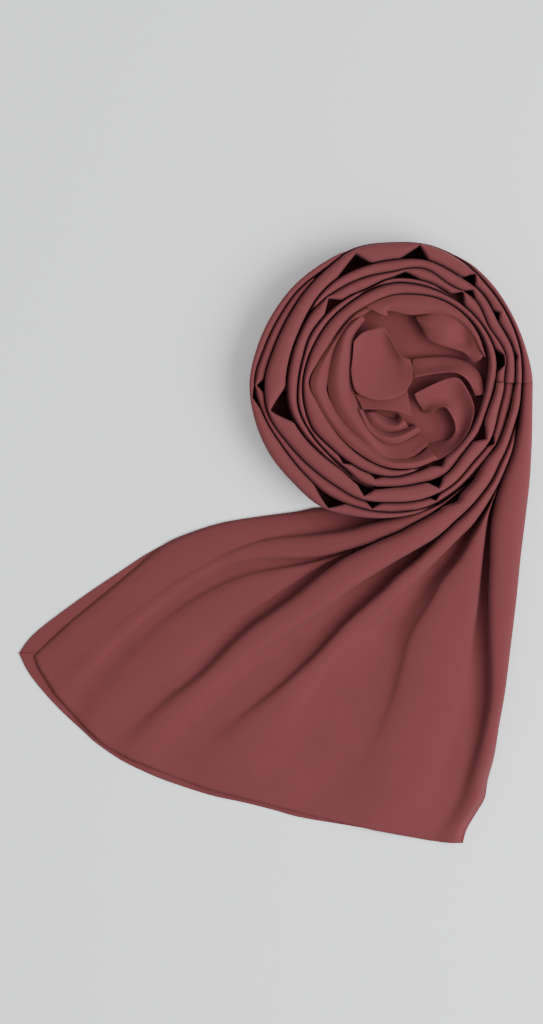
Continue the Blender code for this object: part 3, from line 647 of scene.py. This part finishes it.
# Folds in the middle of the coil: for each section the far side, the middle and the near side, as drawing
# x, y and height in millimetres.
corePatches = {
    "bed": (
        ((300, 290, 15), (391, 290, 15), (490, 290, 15)),
        ((300, 384, 15), (391, 384, 15), (490, 384, 15)),
        ((300, 478, 15), (391, 478, 15), (490, 478, 15)),
    ),
    "rim_band": (
        ((373, 308, 31), (368, 313, 32), (362, 318, 29)),
        ((353, 317, 31), (352, 321, 33), (348, 325, 29)),
        ((329, 348, 31), (331, 350, 33), (333, 351, 29)),
        ((311, 380, 31), (318, 382, 33), (326, 382, 29)),
        ((316, 402, 31), (321, 400, 33), (327, 397, 29)),
        ((334, 430, 31), (337, 427, 33), (341, 423, 29)),
        ((354, 450, 31), (358, 445, 33), (361, 440, 28)),
        ((382, 466, 31), (384, 462, 32.5), (385, 458, 28)),
        ((412, 468, 31), (413, 463, 32), (411, 459, 27)),
        ((436, 459, 30), (433, 456, 31), (428, 449, 25)),
    ),
    "cradle": (
        ((358, 316, 27), (361, 318, 30), (364, 321, 27)),
        ((341, 331, 28), (347, 334, 32), (353, 337, 27)),
        ((330, 360, 28), (340, 361, 32.5), (350, 362, 26)),
        ((328, 389, 28), (339, 388, 32), (352, 390, 24)),
        ((338, 417, 28), (348, 411, 31.5), (361, 410, 23)),
        ((359, 440, 28), (365, 434, 31), (371, 428, 23)),
        ((385, 457, 27), (386, 451, 25), (387, 444, 22)),
        ((409, 457, 26), (409, 449, 23), (407, 440, 20)),
        ((427, 444, 23), (423, 440, 21), (417, 434, 18)),
    ),
    "cradle_roll": (
        ((356, 410, 26), (359, 410, 28), (362, 410, 24)),
        ((366, 432, 26), (368, 429, 29), (369, 424, 23)),
        ((379, 442, 25), (379, 437, 29), (380, 432, 23)),
        ((393, 444, 25), (392, 439, 28.5), (391, 434, 23)),
        ((407, 439, 23), (405, 435, 27), (403, 431, 22)),
        ((420, 431, 20), (417, 428, 24), (414, 425, 20)),
    ),
    "top_petal": (
        ((366, 309, 31), (377, 315, 32), (386, 318, 29)),
        ((389, 299, 31), (391, 306, 33), (388, 312, 30)),
        ((415, 298, 31), (412, 307, 33), (410, 316, 30)),
        ((439, 303, 31), (435, 310, 33), (431, 315, 30)),
        ((460, 316, 31), (456, 319, 33), (452, 321, 30)),
        ((475, 335, 31), (471, 334, 33), (467, 334, 30)),
        ((483, 358, 31), (480, 354, 33), (476, 350, 30)),
    ),
    "right_petal": (
        ((414, 318, 24), (416, 322, 26), (418, 325, 24)),
        ((432, 316, 29), (428, 327, 30), (426, 338, 26)),
        ((450, 320, 30), (445, 333, 31.5), (438, 345, 27)),
        ((464, 330, 30), (462, 341, 26), (451, 349, 28)),
        ((475, 343, 30), (470, 351, 29), (463, 354, 28)),
        ((482, 356, 30), (478, 361, 31), (473, 364, 28)),
    ),
    "arc_fold": (
        ((411, 361, 21), (411, 371, 24), (412, 378, 27)),
        ((430, 359, 21), (430, 368, 24), (430, 375, 28)),
        ((449, 359, 21), (449, 367, 25), (449, 373, 29)),
        ((466, 364, 22), (463, 370, 26), (460, 376, 29)),
        ((478, 376, 24), (473, 380, 27), (468, 384, 28)),
        ((482, 395, 26), (478, 396, 28), (474, 397, 27)),
    ),
    "cup": (
        ((413, 395, 26), (416, 402, 23), (420, 408, 19)),
        ((429, 387, 29), (428, 398, 24), (423, 412, 19)),
        ((447, 380, 31), (440, 395, 24), (430, 412, 24)),
        ((459, 382, 31), (450, 397, 23), (438, 408, 26)),
        ((471, 405, 30), (461, 409, 23), (446, 409, 27)),
        ((470, 421, 30), (463, 423, 23), (453, 421, 27)),
        ((464, 435, 30), (460, 437, 24), (454, 433, 25)),
        ((451, 451, 29), (449, 446, 24), (447, 441, 21)),
        ((436, 460, 28), (436, 452, 24), (437, 442, 16)),
        ((417, 463, 28), (419, 457, 24), (424, 447, 18)),
        ((398, 462, 28), (400, 459.5, 27), (403, 458, 24)),
    ),
    "tongue": (
        ((354, 395, 24), (358, 402, 25), (362, 410, 27)),
        ((372, 397, 24), (374, 403, 25), (376, 410, 27)),
        ((392, 395, 24), (393, 403, 25), (394, 412, 27)),
        ((406, 391, 24), (408, 403, 25), (410, 417, 27)),
    ),
    "small_roll": (
        ((363, 413, 21), (370, 413, 24), (376, 413, 21)),
        ((367, 425, 21), (376, 421, 25), (382, 417, 20)),
        ((379, 432, 21), (385, 426, 25), (390, 420, 18)),
        ((394, 433, 21), (396, 427, 25), (396, 419, 17)),
        ((408, 428, 20), (403, 421, 24), (398, 415, 19)),
    ),
    "left_petal": (
        ((353, 343, 30), (352, 358, 29), (350, 372, 28)),
        ((361, 335, 30), (361, 355, 27), (354, 391, 29)),
        ((372, 331, 30), (373, 357, 25), (364, 398, 29)),
        ((383, 330, 30), (384, 360, 24), (376, 401, 29)),
        ((393, 347, 30), (394, 366, 25), (390, 400, 29)),
        ((400, 358, 30), (402, 370, 27), (403, 394, 29)),
        ((409, 361, 30), (411, 370, 29), (411, 381, 29)),
    ),
}

coreCloth = {
    "alongSteps": 9,
    "acrossSteps": 7,
    "skirt": 7.0 * mm,
    "tuckedIn": 0.5 * mm,
    "roll": 1.1 * mm,
    "rollOut": 0.4,
    "rollDown": 0.3,
}

# Which long sides of a piece of the core roll under; the others end plainly.
rolledSides = {
    "rim_band": "both",
    "cradle": "both",
    "cradle_roll": "both",
    "top_petal": "both",
    "right_petal": "both",
    "arc_fold": "both",
    "cup": "near",
    "tongue": "far",
    "small_roll": "both",
    "left_petal": "none",
    "bed": "none",
}


def corePatch(name):
    rows = []
    side = rolledSides[name]
    for row in corePatches[name]:
        far, middle, near = (drawn(x, y, h * mm) for x, y, h in row)
        points = [far, middle, near]
        out = (far - near).normalized()
        hem = Vector((0, 0, -coreCloth["skirt"]))
        bulge = out * coreCloth["rollOut"] * coreCloth["roll"]
        if side in ("both", "far"):
            points[:0] = [far - out * coreCloth["tuckedIn"] + hem, far + bulge + hem * coreCloth["rollDown"]]
        if side in ("both", "near"):
            points += [near - bulge + hem * coreCloth["rollDown"], near + out * coreCloth["tuckedIn"] + hem]
        rows.append(points)
    flat = [tuple(v for p in points for v in p) for points in rows]
    along, across = coreCloth["alongSteps"], coreCloth["acrossSteps"]
    fine = []
    for i in range(along * (len(rows) - 1) + 1):
        line = smooth(flat, i / along)
        points = [line[3 * k: 3 * k + 3] for k in range(len(line) // 3)]
        fine.append([Vector(smooth(points, j / across)) for j in range(across * (len(points) - 1) + 1)])
    return fine


def clothPiece(name, node, rows, material):
    piece = gridObject(name, rows, material)
    shell(piece, cloth["shell"])
    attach(piece, "root")
    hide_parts(node)
    print(name, "cut", [round(v, 3) for v in flatSize(rows)])


print("making the fan")
clothPiece("fanUpper", "fan_upper_layer", fanRows(), fanShadedCrepe)

# Edge of the under layer, from the hem's right corner round the left corner to the coil and back.
underEdge = (
    (462, 843), (440, 842), (401, 833), (380, 830.5), (340, 824), (299, 817), (274, 810),
    (244, 802.5), (210, 795), (167, 781), (143, 771), (121, 760), (97, 743.6), (83, 731),
    (61.5, 711), (42, 690), (28, 671.5), (19.5, 654.2), (19, 653), (19.8, 651.8), (28, 640),
    (40, 628.5), (58, 614.5), (88, 592.8), (118, 572.7), (148, 553), (173.7, 540), (210, 526),
    (260, 519), (310, 513), (350, 512), (400, 511), (450, 488), (475, 462), (500, 452), (527, 450),
    (526, 480), (522, 518), (516.5, 562), (512, 605), (507, 645), (500, 695), (490, 760),
    (481, 799), (468, 822),
)
underCloth = {
    "height": 1.1 * mm,
    "insets": (0, 1.5, 4, 9, 18, 34, 60),
    "inward": (0.35, 0.7, 0.98),
    "middle": (330, 650),
    "stepsPerPoint": 5,
}


def underRows():
    steps = underCloth["stepsPerPoint"]
    closed = underEdge + underEdge[:1]
    outline = [Vector(smooth(closed, k / steps)) for k in range(steps * len(underEdge) + 1)]
    heart = Vector(underCloth["middle"])
    height = underCloth["height"]
    rows = []
    for inset in underCloth["insets"]:
        last = [p + (heart - p).normalized() * inset for p in outline]
        rows.append([drawn(*p, height) for p in last])
    for share in underCloth["inward"]:
        rows.append([drawn(*p.lerp(heart, share), height) for p in last])
    return rows


clothPiece("fanUnder", "fan_under_layer", underRows(), fanShadedCrepe)

print("winding the coil")
turns = (
    ("outerTurn", "outer_turn", outerTurn, ("outer", "groove1", "groove2", "groove3"), outerKinks,
     turnCloth["outerCrests"], turnCloth["tuck"]),
    ("innerTurn", "inner_turn", innerTurn, ("outer", "groove2", "groove3"), innerKinks,
     turnCloth["innerCrests"], 0.0),
    ("lastTurn", "last_turn", lastTurn, ("outer", "groove3"), lastKinks, turnCloth["lastCrests"], 0.0),
)
for name, node, table, names, kinks, heights, tuck in turns:
    rows = turnRows(table, names, kinks, heights, tuck)
    clothPiece(name, node, rows, coilCrepe)

baseCloth = {"height": 1.3 * mm, "inset": 9.0, "rings": 6, "inward": 0.96, "turnStep": 6}


def baseRows():  # the cloth under the wound turns, which shows only down the deepest holes
    rows = []
    bearings = range(0, 361, baseCloth["turnStep"])
    for k in range(baseCloth["rings"] + 1):
        share = 1 - baseCloth["inward"] * k / baseCloth["rings"]
        radii = [(atBearing(outerTurn, b)[1] - baseCloth["inset"]) * unit * share for b in bearings]
        rows.append([polar(b, r, baseCloth["height"]) for b, r in zip(bearings, radii)])
    return rows


clothPiece("coilBase", "outer_turn", baseRows(), coilCrepe)

print("folding the core")
for name in corePatches:
    clothPiece("core_" + name, "core", corePatch(name), coreShadedCrepe)

print("setting up the floor, light and camera")
studio = {
    "floor": (0.89, 0.915, 0.925),
    "cameraHeight": 3.0,
    "frameHeight": 1024 * unit,
    "frameMiddle": (271.5, 512.0),
    "world": 0.80,
    "lampPower": 57.0,
    "lampSize": 1.5,
    "lampPlace": (1.35, -0.35, 1.5),
    "floorReach": 4,
    "floorRoughness": 0.9,
    "seenTo": 20,
}
floor = bpy.data.meshes.new("floor")
reach = studio["floorReach"]
corners = [(-reach, -reach, 0), (reach, -reach, 0), (reach, reach, 0), (-reach, reach, 0)]
floor.from_pydata(corners, [], [(0, 1, 2, 3)])
floorObject = bpy.data.objects.new("floor", floor)
bpy.context.scene.collection.objects.link(floorObject)
paper = bpy.data.materials.new("paper")
paper.use_nodes = True
paperShader = paper.node_tree.nodes["Principled BSDF"]
paperShader.inputs["Base Color"].default_value = (*studio["floor"], 1)
paperShader.inputs["Roughness"].default_value = studio["floorRoughness"]
floor.materials.append(paper)

world = bpy.data.worlds.new("studio")
bpy.context.scene.world = world
world.use_nodes = True
world.node_tree.nodes["Background"].inputs["Color"].default_value = (1, 1, 1, 1)
world.node_tree.nodes["Background"].inputs["Strength"].default_value = studio["world"]

lamp = bpy.data.lights.new("softbox", "AREA")
lamp.energy = studio["lampPower"]
lamp.size = studio["lampSize"]
lampObject = bpy.data.objects.new("softbox", lamp)
bpy.context.scene.collection.objects.link(lampObject)
lampObject.location = studio["lampPlace"]
lampObject.rotation_euler = (Vector((0, 0, 0)) - lampObject.location).to_track_quat("-Z", "Y").to_euler()

camera = bpy.data.cameras.new("camera")
cameraObject = bpy.data.objects.new("camera", camera)
bpy.context.scene.collection.objects.link(cameraObject)
middle = drawn(*studio["frameMiddle"])
cameraObject.location = (middle.x, middle.y, studio["cameraHeight"])
camera.lens = camera.sensor_width * studio["cameraHeight"] / studio["frameHeight"]
camera.clip_end = studio["seenTo"]
bpy.context.scene.camera = cameraObject

bpy.context.view_layer.update()
